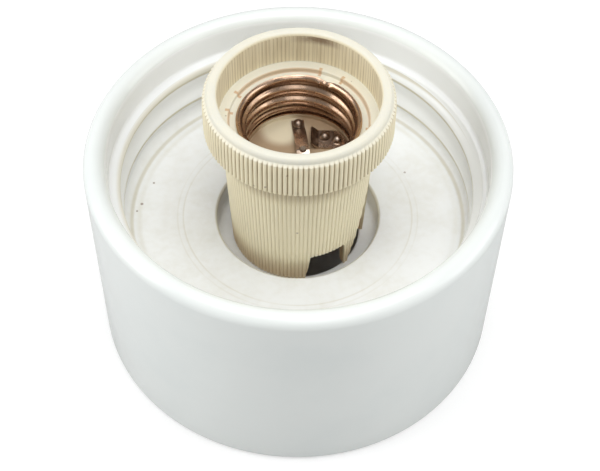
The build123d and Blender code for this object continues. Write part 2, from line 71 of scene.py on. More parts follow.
# Marks on the floor of the base: rubbed rings (radius, width, strength) and specks (x, y, radius), in mm
FLOOR_RINGS = ((28.1, 0.35, 0.22), (29.5, 0.35, 0.12), (38.8, 1.1, 0.16))
FLOOR_SPOTS = ((-36.1, 8.8, 0.40), (-38.5, 1.9, 0.50), (-39.5, -0.4, 0.35))

# Middle of the painted pool of light on the floor of the well, in metres, and of the scorch mark, in turns
WELL_LIGHT_POOL = (-0.0040, 0.0088, 0.0540)
SCORCH_TURN = 0.215

# Angles in degrees and distance in mm of the camera, from the centre of the foot, and its lens
CAMERA_ELEVATION = 54.04
CAMERA_DISTANCE = 346.7
CAMERA_PAN = 0.12
CAMERA_TILT = 2.50
CAMERA_ROLL = 0.86
LENS_MM = 78.0


# Sizes and colours


def length(name, description, millimetres):
    """A length property, given in millimetres and kept in metres."""
    return bpy.props.FloatProperty(
        name=name, description=description, default=millimetres * MM, unit="LENGTH", min=0.0, precision=5
    )


def colour(name, description, value):
    """A colour property."""
    return bpy.props.FloatVectorProperty(
        name=name, description=description, default=value, subtype="COLOR", size=3, min=0.0, max=1.0
    )


class BaseSizes(bpy.types.PropertyGroup):
    """Sizes of the glazed base."""

    outer_r: length("Outer radius", "Radius of the straight wall", 50.0)
    rim_z: length("Rim height", "Top of the rim", 57.2)
    rim_round: length("Rim round", "Radius of both edges of the rim", 2.55)
    entry_r: length("Entry radius", "Plain band above the globe thread", 44.8)
    shelf_z: length("Shelf height", "Outer edge of the shelf", 48.9)
    crest_r: length("Crest radius", "Crests of the globe thread", 41.8)
    groove_depth: length("Groove depth", "Depth of the globe thread", 1.95)
    pitch: length("Pitch", "Pitch of the globe thread", 8.0)
    floor_z: length("Floor height", "Top of the floor", 33.5)
    hole_r: length("Recess radius", "Recess round the holder", 19.8)
    ledge_z: length("Ledge height", "Ledge that the holder stands on", 27.7)
    seat_r: length("Seat radius", "Hole through the ledge", 15.2)
    cavity_r: length("Cavity radius", "Open underside", 44.0)


class HolderSizes(bpy.types.PropertyGroup):
    """Sizes of the cream ceramic holder."""

    foot_r: length("Foot radius", "Foot of the skirt", 16.1)
    neck_r: length("Neck radius", "Skirt below the collar", 17.9)
    bore_r: length("Skirt bore", "Inside of the skirt", 14.0)
    collar_r: length("Collar radius", "Collar over its ribs", 21.75)
    collar_z: length("Collar foot", "Underside of the collar", 65.1)
    rib_top_z: length("Rib ends", "Upper end of the collar's ribs", 74.3)
    top_z: length("Top", "Top of the rim", 75.8)
    lip_round: length("Rim round", "Radius of the rim's outer edge", 1.0)
    collar_bore_r: length("Collar bore", "Inside of the collar", 18.3)
    ring_z: length("Ring height", "Top of the raised ring", 67.0)
    step_z: length("Step height", "Step inside the raised ring", 66.0)
    rib_depth: length("Skirt rib depth", "Depth between the skirt's ribs", 0.28)
    collar_rib_depth: length("Collar rib depth", "Depth between the collar's ribs", 0.45)


class ShellSizes(bpy.types.PropertyGroup):
    """Sizes of the rolled lamp thread."""

    crest_r: length("Crest radius", "Crests of the lamp thread", 12.4)
    root_r: length("Root radius", "Roots of the lamp thread", 13.4)
    pitch: length("Pitch", "Pitch of the lamp thread", 3.63)
    lip_z: length("Lip height", "Top of the rolled lip", 66.6)
    foot_z: length("Foot height", "Foot of the shell", 55.0)
    metal: length("Sheet thickness", "Thickness of the rolled sheet", 0.35)


class FinishColours(bpy.types.PropertyGroup):
    """Colours of the finishes."""

    glaze: colour("Glaze", "White glaze of the base", (0.84, 0.875, 0.855))
    glaze_grey: colour("Glaze shade", "Cooler, thinner glaze", (0.68, 0.74, 0.74))
    # Lit copy of the glaze: painted light, whiter inside the base
    well_lit_white: colour("Well", "Rubbed glaze inside the base", (0.92, 0.935, 0.94))
    # Dust, also painted as shade in tan lines along the thread, the shelf, the wall's foot and the
    # recess's mouth
    dust: colour("Dust", "Dust in the corners and along the thread", (0.46, 0.40, 0.22))
    # Lit copy of the holder's clay: painted light on the rim and the raised ring
    cream: colour("Cream ceramic", "Unglazed rim of the holder", (0.775, 0.76, 0.66))
    # Shaded copy of the same clay: painted shade, yellower, on the skirt, the ribs and the well
    cream_in_shade: colour("Ceramic shade", "Skirt, ribs and well of the holder", (0.89, 0.81, 0.59))
    # Dark brown for the rib grooves and bore streaks, also painted as shade in a band on the skirt under
    # the collar
    groove: colour("Rib grooves", "Grime between the ribs", (0.33, 0.23, 0.11))
    # Brown scorch and specks, also painted as shade inside the skirt's hollow
    stain: colour("Stain", "Brown scorch and rust marks", (0.20, 0.12, 0.07))
    # Tan painted shade at the foot and the openings' cut faces, and tan partly stain, partly painted shade
    # along the raised ring
    tan_shade_and_stain: colour("Cut clay", "Browned clay at the foot and round the openings", (0.58, 0.34, 0.15))
    # Browned clay of the well floor, darkened as painted shade round a painted pool of light
    well_brown_shade: colour("Well floor", "Browned clay inside the lamp thread", (0.38, 0.24, 0.13))
    copper: colour("Copper alloy", "Sheet of the lamp thread", (0.61, 0.42, 0.30))
    # Darkened copper colour, also painted as shade in the roots of the copper thread
    tarnish_and_shade: colour("Tarnish", "Darkened copper", (0.13, 0.075, 0.045))
    nickel: colour("Nickel", "Plated contacts", (0.56, 0.47, 0.39))
    brass: colour("Brass", "Terminals", (0.78, 0.60, 0.28))
    zinc: colour("Zinc", "Plated steel", (0.60, 0.61, 0.62))
    zinc_dull: colour("Dull zinc", "Patches of the plated steel", (0.44, 0.43, 0.42))


# Mesh helpers


def deselect_all():
    """Leaves object mode with nothing selected."""
    if bpy.context.object and bpy.context.object.mode != "OBJECT":
        bpy.ops.object.mode_set(mode="OBJECT")
    bpy.ops.object.select_all(action="DESELECT")


def make_active(obj):
    """Selects one object only and makes it the active one."""
    deselect_all()
    obj.select_set(True)
    bpy.context.view_layer.objects.active = obj


def rounded(corners, steps):
    """Points of a line whose corners, given as (x, z, radius), are rounded off."""
    points = []
    last = len(corners) - 1
    for i, (x, z, radius) in enumerate(corners):
        if radius == 0 or i in (0, last):
            points.append((x, z))
            continue
        corner = Vector((x, z))
        before = (Vector(corners[i - 1][:2]) - corner).normalized()
        after = (Vector(corners[i + 1][:2]) - corner).normalized()
        half = 0.5 * before.angle(after)
        reach = radius / tan(half)
        centre = corner + (before + after).normalized() * radius / sin(half)
        first = corner + before * reach - centre
        turn = first.angle_signed(corner + after * reach - centre)
        for k in range(steps + 1):
            points.append(tuple(centre + Matrix.Rotation(-turn * k / steps, 2) @ first))
    return points


def with_rows(points, spacing):
    """The same line with extra points, so that no two are further apart than the spacing."""
    dense = [points[0]]
    for start, end in zip(points, points[1:]):
        count = max(1, round(hypot(end[0] - start[0], end[1] - start[1]) / spacing))
        for k in range(1, count + 1):
            dense.append(tuple(a + (b - a) * k / count for a, b in zip(start, end)))
    return dense


def turned(name, line, steps, closed):
    """Spins a line of (radius, height) points round the axis into a mesh object."""
    count = len(line)
    edges = [(i, i + 1) for i in range(count - 1)]
    if closed:
        edges.append((count - 1, 0))
    mesh = bpy.data.meshes.new(name)
    mesh.from_pydata([(r, 0.0, z) for r, z in line], edges, [])
    obj = bpy.data.objects.new(name, mesh)
    bpy.context.collection.objects.link(obj)
    make_active(obj)
    bpy.ops.object.mode_set(mode="EDIT")
    bpy.ops.mesh.select_all(action="SELECT")
    bpy.ops.mesh.spin(steps=steps, angle=2 * pi, center=(0, 0, 0), axis=(0, 0, 1))
    bpy.ops.mesh.select_all(action="SELECT")
    bpy.ops.mesh.remove_doubles(threshold=0.000002)
    bpy.ops.mesh.normals_make_consistent(inside=False)
    bpy.ops.object.mode_set(mode="OBJECT")
    return obj


def reshape(obj, new_radius):
    """Moves each vertex to the radius that a rule gives for its azimuth, radius and height."""
    for vertex in obj.data.vertices:
        x, y, z = vertex.co
        r = hypot(x, y)
        if r > 0:
            scale = new_radius(atan2(y, x), r, z) / r
            vertex.co.x = x * scale
            vertex.co.y = y * scale


def upright(half_width, foot, top):
    """Outline of an upright rectangle."""
    return [(-half_width, foot), (half_width, foot), (half_width, top), (-half_width, top)]


def prism(name, outline, place, depth):
    """Extrudes a flat outline, drawn in x and y of a placing matrix, along its z."""
    mesh = bpy.data.meshes.new(name)
    mesh.from_pydata([place @ Vector((x, y, 0)) for x, y in outline], [], [range(len(outline))])
    obj = bpy.data.objects.new(name, mesh)
    bpy.context.collection.objects.link(obj)
    make_active(obj)
    bpy.ops.object.mode_set(mode="EDIT")
    bpy.ops.mesh.select_all(action="SELECT")
    way = place.to_3x3() @ Vector((0, 0, depth))
    bpy.ops.mesh.extrude_region_move(TRANSFORM_OT_translate={"value": way})
    bpy.ops.mesh.select_all(action="SELECT")
    bpy.ops.mesh.normals_make_consistent(inside=False)
    bpy.ops.object.mode_set(mode="OBJECT")
    return obj


def apply_all(obj):
    """Applies every modifier of an object, in order."""
    make_active(obj)
    for modifier in list(obj.modifiers):
        bpy.ops.object.modifier_apply(modifier=modifier.name)


def combine(obj, tool, operation):
    """Cuts a tool from an object, or joins it on, and removes the tool."""
    modifier = obj.modifiers.new("combine", "BOOLEAN")
    modifier.operation = operation
    modifier.solver = "EXACT"
    modifier.object = tool
    apply_all(obj)
    bpy.data.objects.remove(tool)


def bevelled(obj, width, segments=2, angle=40):
    """Rounds the sharp edges of a mesh."""
    modifier = obj.modifiers.new("edges", "BEVEL")
    modifier.width = width
    modifier.segments = segments
    modifier.limit_method = "ANGLE"
    modifier.angle_limit = radians(angle)
    apply_all(obj)


def joined(name, pieces):
    """Joins several objects into one."""
    make_active(pieces[0])
    for piece in pieces[1:]:
        piece.select_set(True)
    bpy.ops.object.join()
    result = bpy.context.object
    result.name = name
    return result


def finish_piece(obj, material, body, nodes, angle):
    """Smooths a piece, gives it its material, ties it to its body and hides the CAD nodes that it
    replaces.
    """
    make_active(obj)
    bpy.ops.object.shade_smooth_by_angle(angle=radians(angle))
    obj.data.materials.clear()
    obj.data.materials.append(material)
    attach(obj, body)
    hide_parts(*nodes)
    return obj


def facing(azimuth, r):
    """Matrix of a drawing plane that faces outwards at an azimuth: x to the right, y up."""
    a = radians(azimuth)
    out = Vector((cos(a), sin(a), 0))
    right = Vector((-sin(a), cos(a), 0))
    place = Matrix((right, (0, 0, 1), out)).transposed().to_4x4()
    place.translation = out * r
    return place


# Shader helpers


class Recipe:
    """Adds and links the nodes of one material or node group."""

    def __init__(self, tree):
        self.tree = tree

    def node(self, kind, inputs=(), **settings):
        made = self.tree.nodes.new(kind)
        for key, value in settings.items():
            setattr(made, key, value)
        for key, value in dict(inputs).items():
            if isinstance(value, bpy.types.NodeSocket):
                self.tree.links.new(value, made.inputs[key])
            else:
                made.inputs[key].default_value = value
        return made

    def math(self, operation, *values):
        made = self.tree.nodes.new("ShaderNodeMath")
        made.operation = operation
        for socket, value in zip(made.inputs, values):
            if isinstance(value, bpy.types.NodeSocket):
                self.tree.links.new(value, socket)
            else:
                socket.default_value = value
        return made.outputs[0]

    def times(self, *values):
        result = values[0]
        for value in values[1:]:
            result = self.math("MULTIPLY", result, value)
        return result

    def most(self, first, second):
        return self.math("MAXIMUM", first, second)

    def gap(self, first, second):
        return self.math("ABSOLUTE", self.math("SUBTRACT", first, second))

    def above(self, value, limit):
        return self.math("GREATER_THAN", value, limit)

    def below(self, value, limit):
        return self.math("LESS_THAN", value, limit)

    def between(self, value, low, high):
        return self.times(self.above(value, low), self.below(value, high))

    def distance(self, first, second):
        return self.node(
            "ShaderNodeVectorMath", {0: first, 1: second}, operation="DISTANCE"
        ).outputs["Value"]

    def mix(self, factor, first, second):
        made = self.tree.nodes.new("ShaderNodeMix")
        made.data_type = "RGBA"
        for socket, value in ((made.inputs[0], factor), (made.inputs[6], first), (made.inputs[7], second)):
            if isinstance(value, bpy.types.NodeSocket):
                self.tree.links.new(value, socket)
            elif hasattr(value, "__len__"):
                socket.default_value = (*value, 1.0)
            else:
                socket.default_value = value
        return made.outputs[2]

    def span(self, value, low, high, to_low=0.0, to_high=1.0):
        made = self.node(
            "ShaderNodeMapRange",
            {"Value": value, "From Min": low, "From Max": high, "To Min": to_low, "To Max": to_high},
        )
        made.interpolation_type = "SMOOTHSTEP"
        return made.outputs["Result"]

    def noise(self, place, scale, detail=3.0, roughness=0.5):
        return self.node(
            "ShaderNodeTexNoise",
            {"Vector": place, "Scale": scale, "Detail": detail, "Roughness": roughness},
        ).outputs["Fac"]


def new_group(name, inputs, outputs):
    """An empty shader node group with named sockets."""
    tree = bpy.data.node_groups.new(name, "ShaderNodeTree")
    for label, kind, default in inputs:
        socket = tree.interface.new_socket(name=label, in_out="INPUT", socket_type=kind)
        if default is not None:
            socket.default_value = default
    for label, kind in outputs:
        tree.interface.new_socket(name=label, in_out="OUTPUT", socket_type=kind)
    return tree, tree.nodes.new("NodeGroupInput"), tree.nodes.new("NodeGroupOutput")


def cylinder_place_group():
    """Radius, height and azimuth of a point on the part, in millimetres and turns."""
    tree, given, result = new_group(
        "place_round_axis",
        [("Position", "NodeSocketVector", None)],
        [("Radius", "NodeSocketFloat"), ("Height", "NodeSocketFloat"), ("Turn", "NodeSocketFloat")],
    )
    recipe = Recipe(tree)
    parts = recipe.node("ShaderNodeSeparateXYZ", {"Vector": given.outputs["Position"]}).outputs
    flat = recipe.math("POWER", parts["X"], 2.0)
    flat = recipe.math("ADD", flat, recipe.math("POWER", parts["Y"], 2.0))
    radius = recipe.times(recipe.math("SQRT", flat), 1000.0)
    height = recipe.times(parts["Z"], 1000.0)
    turn = recipe.math("DIVIDE", recipe.math("ARCTAN2", parts["Y"], parts["X"]), 2 * pi)
    tree.links.new(radius, result.inputs["Radius"])
    tree.links.new(height, result.inputs["Height"])
    tree.links.new(turn, result.inputs["Turn"])
    return tree


def specks_group():
    """Small round marks scattered over a surface."""
    tree, given, result = new_group(
        "specks",
        [
            ("Position", "NodeSocketVector", None),
            ("Scale", "NodeSocketFloat", 300.0),
            ("Size", "NodeSocketFloat", 0.1),
            ("Share", "NodeSocketFloat", 0.1),
        ],
        [("Mask", "NodeSocketFloat")],
    )
    recipe = Recipe(tree)
    cells = recipe.node(
        "ShaderNodeTexVoronoi", {"Vector": given.outputs["Position"], "Scale": given.outputs["Scale"]}
    )
    near = recipe.below(cells.outputs["Distance"], given.outputs["Size"])
    lot = recipe.node("ShaderNodeSeparateColor", {"Color": cells.outputs["Color"]}).outputs["Red"]
    chosen = recipe.below(lot, given.outputs["Share"])
    tree.links.new(recipe.times(near, chosen), result.inputs["Mask"])
    return tree


def grime_group():
    """Patchy dust or stain: a mask that thickens with a given amount."""
    tree, given, result = new_group(
        "grime",
        [
            ("Position", "NodeSocketVector", None),
            ("Scale", "NodeSocketFloat", 90.0),
            ("Amount", "NodeSocketFloat", 0.5),
        ],
        [("Mask", "NodeSocketFloat")],
    )
    recipe = Recipe(tree)
    coarse = recipe.noise(given.outputs["Position"], given.outputs["Scale"], 6.0, 0.62)
    fine = recipe.noise(given.outputs["Position"], recipe.times(given.outputs["Scale"], 9.0), 3.0)
    both = recipe.math("ADD", recipe.times(coarse, 0.72), recipe.times(fine, 0.28))
    edge = recipe.math("SUBTRACT", 1.0, given.outputs["Amount"])
    low = recipe.math("SUBTRACT", edge, 0.16)
    high = recipe.math("ADD", edge, 0.16)
    tree.links.new(recipe.span(both, low, high), result.inputs["Mask"])
    return tree


def wear_group():
    """Brightness changes and fine scratches of used metal."""
    tree, given, result = new_group(
        "metal_wear",
        [("Position", "NodeSocketVector", None), ("Scale", "NodeSocketFloat", 220.0)],
        [("Cloud", "NodeSocketFloat"), ("Scratch", "NodeSocketFloat")],
    )
    recipe = Recipe(tree)
    cloud = recipe.noise(given.outputs["Position"], given.outputs["Scale"], 5.0, 0.6)
    streak_place = recipe.node(
        "ShaderNodeMapping", {"Vector": given.outputs["Position"], "Scale": (1.0, 1.0, 14.0)}
    ).outputs["Vector"]
    streak = recipe.noise(streak_place, recipe.times(given.outputs["Scale"], 3.0), 2.0)
    tree.links.new(recipe.span(cloud, 0.35, 0.65), result.inputs["Cloud"])
    tree.links.new(streak, result.inputs["Scratch"])
    return tree


GROUPS = {}


def use_group(recipe, name, **inputs):
    """Places a shared node group in a material and returns its outputs."""
    return recipe.node(
        "ShaderNodeGroup", {k.replace("_", " "): v for k, v in inputs.items()}, node_tree=GROUPS[name]
    ).outputs


def start_material(name):
    """A material with its shader, its recipe and the position that patterns are read from."""
    made = bpy.data.materials.new(name)
    made.use_nodes = True
    recipe = Recipe(made.node_tree)
    shader = made.node_tree.nodes["Principled BSDF"]
    position = recipe.node("ShaderNodeTexCoord").outputs["Object"]
    return made, recipe, shader, position


def bump(recipe, shader, height, distance, strength):
    """Feeds a height into the shader's normal."""
    made = recipe.node("ShaderNodeBump", {"Height": height, "Distance": distance, "Strength": strength})
    recipe.tree.links.new(made.outputs["Normal"], shader.inputs["Normal"])


def white_glaze():
    """Glossy white glaze, whiter inside the base as painted light, with tan lines of painted shade and
    dust along the thread and a rubbed, marked floor.
    """
    colours = bpy.context.scene.lamp_finish
    size = bpy.context.scene.lamp_base
    made, recipe, shader, position = start_material("white_glaze")
    links = made.node_tree.links
    place = use_group(recipe, "place_round_axis", Position=position)
    radius, height = place["Radius"], place["Height"]
    floor_z, shelf_z, hole_r = size.floor_z / MM, size.shelf_z / MM, size.hole_r / MM
    cloud = recipe.noise(position, 38.0, 4.0, 0.55)
    base = recipe.mix(recipe.span(cloud, 0.42, 0.75, 0.0, 0.22), colours.glaze, colours.glaze_grey)

    # Inside the base the glaze takes a whiter copy as painted light; the floor is rubbed dull, with
    # patches of dust
    well = recipe.times(recipe.below(radius, 45.0), recipe.above(height, 27.0))
    low = recipe.times(well, recipe.span(height, floor_z + 2.5, floor_z + 0.3))
    base = recipe.mix(recipe.times(well, 0.85), base, colours.well_lit_white)
    patchy = use_group(recipe, "grime", Position=position, Scale=70.0, Amount=0.46)["Mask"]
    base = recipe.mix(recipe.times(patchy, low, 0.16), base, colours.dust)

    # Thin tan lines along each crest, the shelf's edge, the foot of the wall and the recess's mouth:
    # painted shade in the crevices, partly dust
    turns = recipe.math("DIVIDE", recipe.math("SUBTRACT", height, GLOBE_TOP_Z), size.pitch / MM)
    turns = recipe.math("ADD", recipe.math("SUBTRACT", turns, place["Turn"]), GLOBE_TOP_ANGLE / 360)
    phase = recipe.math("FRACT", turns)
    on_crest = recipe.times(recipe.span(phase, 0.34, 0.44), recipe.span(phase, 0.56, 0.50))
    on_wall = recipe.times(
        recipe.span(radius, 41.0, 41.5),
        recipe.span(height, shelf_z - 0.3, shelf_z - 1.3),
        recipe.span(height, floor_z + 2.0, floor_z + 3.5),
    )
    shelf_edge = recipe.times(
        recipe.span(height, shelf_z - 0.4, shelf_z - 0.8),
        recipe.span(height, shelf_z - 2.0, shelf_z - 1.4),
        recipe.between(radius, 41.3, 43.0),
    )
    corner = recipe.times(
        recipe.span(recipe.gap(radius, 40.6), 0.7, 0.1), recipe.span(height, floor_z + 2.5, floor_z + 1.5)
    )
    mouth = recipe.times(
        recipe.span(radius, hole_r + 0.7, hole_r + 0.3), recipe.span(height, floor_z - 1.7, floor_z - 0.3)
    )
    crevice_shade_and_dust = recipe.most(recipe.times(on_crest, on_wall, 0.70), recipe.times(shelf_edge, 0.50))
    crevice_shade_and_dust = recipe.most(crevice_shade_and_dust, recipe.times(corner, 0.40))
    crevice_shade_and_dust = recipe.most(crevice_shade_and_dust, recipe.times(mouth, 0.42))
    crevice_shade_and_dust = recipe.times(crevice_shade_and_dust, well)
    base = recipe.mix(crevice_shade_and_dust, base, colours.dust)

    # Rubbed rings and a few specks on the floor
    rings = 0.0
    for ring_r, width, strength in FLOOR_RINGS:
        ring = recipe.times(recipe.span(recipe.gap(radius, ring_r), width, 0.0), strength)
        rings = recipe.most(rings, ring)
    rings = recipe.times(rings, recipe.span(cloud, 0.35, 0.55, 0.35, 1.0))
    base = recipe.mix(recipe.times(rings, low), base, colours.dust)
    marks = use_group(recipe, "specks", Position=position, Scale=150.0, Size=0.05, Share=0.06)["Mask"]
    marks = recipe.times(marks, low, 0.5)
    for x, y, spot_r in FLOOR_SPOTS:
        away = recipe.distance(position, (x * MM, y * MM, size.floor_z))
        marks = recipe.most(marks, recipe.span(away, spot_r * MM, 0.4 * spot_r * MM, 0.0, 0.75))
    base = recipe.mix(marks, base, colours.stain)
    links.new(base, shader.inputs["Base Color"])
    rough = recipe.math("ADD", recipe.span(cloud, 0.3, 0.7, 0.14, 0.24), recipe.times(low, 0.3))
    rough = recipe.math("ADD", rough, recipe.times(crevice_shade_and_dust, 0.4))
    links.new(rough, shader.inputs["Roughness"])
    shader.inputs["IOR"].default_value = 1.5
    wave = recipe.noise(position, 95.0, 2.0)
    bump(recipe, shader, wave, 0.00012, 0.35)
    return made


def rib_grooves(recipe, turn, count):
    """One in the grooves of a ribbed ring, nought on the ribs."""
    share = recipe.math("FRACT", recipe.times(turn, float(count)))
    return recipe.span(recipe.gap(share, 0.5), 0.27, 0.47)


def fired_clay():
    """Unglazed fired clay: a lit, paler copy of the cream on the rim and ring and a yellower shaded copy
    on the ribs and skirt as painted light, darker brown grooves, painted shade at the foot, the openings,
    inside and on the well floor, scorched bore.
    """
    colours = bpy.context.scene.lamp_finish
    made, recipe, shader, position = start_material("fired_clay")
    links = made.node_tree.links
    place = use_group(recipe, "place_round_axis", Position=position)
    radius, height, turn = place["Radius"], place["Height"], place["Turn"]
    cloud = recipe.noise(position, 110.0, 5.0, 0.6)
    grain = recipe.noise(position, 1900.0, 2.0, 0.7)

    # Painted light: the rim, the raised ring and its step take the lit, palest copy of the cream, the rest
    # the shaded copy
    lit_share = recipe.times(recipe.span(height, 73.2, 74.8), recipe.span(radius, 18.3, 18.8))
    ring = recipe.times(recipe.between(height, 65.5, 67.3), recipe.below(radius, 18.6))
    lit_share = recipe.most(lit_share, recipe.times(ring, 0.9))
    base = recipe.mix(lit_share, colours.cream_in_shade, colours.cream)
    base = recipe.mix(recipe.span(cloud, 0.35, 0.75, 0.0, 0.25), base, colours.cream_in_shade)
    base = recipe.mix(recipe.span(grain, 0.45, 0.75, 0.0, 0.25), base, colours.cream_in_shade)

    # Darker brown between the ribs, and a band of painted shade on the skirt under the collar
    on_collar = recipe.times(recipe.span(radius, 20.0, 20.8), recipe.span(height, 74.5, 73.7))
    on_skirt = recipe.times(recipe.span(radius, 15.4, 15.8), recipe.below(height, 65.0))
    grooves = recipe.times(rib_grooves(recipe, turn, COLLAR_RIBS), on_collar)
    skirt_grooves = recipe.times(rib_grooves(recipe, turn, SKIRT_RIBS), on_skirt, 0.32)
    grooves = recipe.times(recipe.most(grooves, skirt_grooves), recipe.span(cloud, 0.3, 0.7, 0.85, 0.45))
    band = recipe.times(recipe.span(height, 55.8, 60.2, 0.0, 0.50), on_skirt)
    base = recipe.mix(recipe.most(grooves, band), base, colours.groove)

    # Painted shade: tan towards the foot and on the cut faces of the openings, and dark brown inside the
    # skirt
    foot = recipe.times(recipe.span(height, 37.0, 28.5, 0.0, 0.42), on_skirt)
    cut = recipe.times(recipe.span(radius, 15.75, 15.45), recipe.span(radius, 13.6, 13.9), 0.75)
    cut = recipe.times(cut, recipe.below(height, 60.0))
    base = recipe.mix(recipe.most(foot, cut), base, colours.tan_shade_and_stain)
    hollow_shade = recipe.times(recipe.span(radius, 14.1, 13.9), recipe.below(height, 47.5), 0.75)
    base = recipe.mix(hollow_shade, base, colours.stain)

    # Brown streaks down the inside of the collar, and a scorch mark at the back
    along = recipe.node("ShaderNodeMapping", {"Vector": position, "Scale": (1.0, 1.0, 0.04)})
    streak = recipe.span(recipe.noise(along.outputs["Vector"], 1500.0, 2.0), 0.42, 0.62)
    bore = recipe.times(recipe.between(height, 67.2, 75.0), recipe.below(radius, 18.6))
    lines = recipe.times(rib_grooves(recipe, turn, BORE_RIBS), 0.30)
    lines = recipe.math("ADD", recipe.math("ADD", lines, 0.06), recipe.times(streak, 0.18))
    base = recipe.mix(recipe.times(lines, bore), base, colours.groove)
    back = recipe.span(recipe.gap(turn, SCORCH_TURN), 0.065, 0.01)
    patchy = use_group(recipe, "grime", Position=position, Scale=260.0, Amount=0.66)["Mask"]
    scorch = recipe.times(back, recipe.span(height, 72.3, 74.2), patchy, bore, 0.8)
    base = recipe.mix(scorch, base, colours.stain)

    # The floor of the well is browned clay darkened as painted shade, with a painted pool of light at its
    # back left
    inside = recipe.times(recipe.span(radius, 13.6, 12.9), recipe.above(height, 50.0))
    pool_shade = recipe.span(recipe.distance(position, WELL_LIGHT_POOL), 3.4 * MM, 6.4 * MM, 0.15, 0.85)
    base = recipe.mix(recipe.times(inside, pool_shade), base, colours.well_brown_shade)

    # Tan along the raised ring's step and at the ends beside its gaps, partly stain and partly painted
    # shade, and a few specks
    marks = use_group(recipe, "specks", Position=position, Scale=420.0, Size=0.12, Share=0.05)["Mask"]
    near_ring = recipe.times(recipe.between(height, 65.8, 67.1), recipe.between(radius, 15.2, 17.0))
    rust_and_shade = recipe.times(recipe.span(recipe.gap(radius, RING_R / MM), 0.40, 0.12, 0.0, 0.55), near_ring)
    ends = 0.0
    for notch in RING_NOTCHES:
        share = recipe.math("ADD", recipe.math("SUBTRACT", turn, notch / 360), 0.5)
        away = recipe.gap(recipe.math("FRACT", share), 0.5)
        rust_and_shade = recipe.times(rust_and_shade, recipe.above(away, RING_NOTCH_HALF / 360))
        edge = recipe.span(recipe.gap(away, RING_NOTCH_HALF / 360), 2.0 / 360, 0.6 / 360)
        ends = recipe.most(ends, recipe.times(edge, near_ring, 0.75))
    base = recipe.mix(recipe.most(rust_and_shade, ends), base, colours.tan_shade_and_stain)
    base = recipe.mix(recipe.times(marks, 0.5), base, colours.stain)
    links.new(base, shader.inputs["Base Color"])
    links.new(recipe.span(cloud, 0.3, 0.7, 0.46, 0.60), shader.inputs["Roughness"])
    bump(recipe, shader, grain, 0.00004, 0.5)
    return made


def worn_metal(name, main, dark, roughness, share):
    """Sheet metal with tarnished clouds and fine scratches; the copper is darkest in its grooves, as
    painted shade.
    """
    made, recipe, shader, position = start_material(name)
    links = made.node_tree.links
    wear = use_group(recipe, "metal_wear", Position=position, Scale=260.0)
    tarnish_and_shade = recipe.times(wear["Cloud"], share)
    # Painted shade: the copper is darkened in the roots of its thread, below the lip
    if name == "copper_sheet":
        place = use_group(recipe, "place_round_axis", Position=position)
        root_shade = recipe.span(place["Radius"], 12.70, 13.10, 0.0, 0.93)
        root_shade = recipe.times(root_shade, recipe.span(place["Height"], 66.0, 65.5))
        tarnish_and_shade = recipe.most(tarnish_and_shade, root_shade)
    base = recipe.mix(tarnish_and_shade, main, dark)
    links.new(base, shader.inputs["Base Color"])
    rough = recipe.math("ADD", recipe.times(wear["Cloud"], 0.14), roughness)
    rough = recipe.math("ADD", rough, recipe.times(wear["Scratch"], 0.10))
    links.new(rough, shader.inputs["Roughness"])
    shader.inputs["Metallic"].default_value = 1.0
    bump(recipe, shader, wear["Scratch"], 0.00002, 0.35)
    return made


def finish(name):
    """The finish of that name, made on its first use."""
    if name in bpy.data.materials:
        return bpy.data.materials[name]
    if not GROUPS:
        for build in (cylinder_place_group, specks_group, grime_group, wear_group):
            tree = build()
            GROUPS[tree.name] = tree
    colours = bpy.context.scene.lamp_finish
    if name == "white_glaze":
        return white_glaze()
    if name == "fired_clay":
        return fired_clay()
    main, dark, roughness, share = {
        "copper_sheet": (colours.copper, colours.tarnish_and_shade, 0.13, 0.28),
        "nickel_plate": (colours.nickel, colours.tarnish_and_shade, 0.18, 0.70),
        "turned_brass": (colours.brass, colours.tarnish_and_shade, 0.22, 0.25),
        "zinc_plate": (colours.zinc, colours.zinc_dull, 0.30, 0.60),
    }[name]
    return worn_metal(name, main, dark, roughness, share)


# Shapes of the pieces


def soft_max(a, b, blend):
    """The larger of two lengths, with a rounded change-over."""
    gap = max(blend - abs(a - b), 0.0) / blend
    return max(a, b) + 0.25 * gap * gap * blend


def groove_depth(offset, depth):
    """Depth of the globe thread at an offset from the groove's middle, in shares of the pitch."""
    low, bottom, high = -0.43, 0.09, 0.43
    if offset < bottom:
        share = (offset - low) / (bottom - low)
    else:
        share = (high - offset) / (high - bottom)
    if share <= 0:
        return 2.4 * share * depth
    return depth * sin(0.5 * pi * share)


def rib_height(angle, count):
    """Height of a rounded rib at an angle, from 0 in the groove to 1 on top."""
    share = (angle / (2 * pi) * count) % 1.0
    return sin(pi * share) ** 0.6


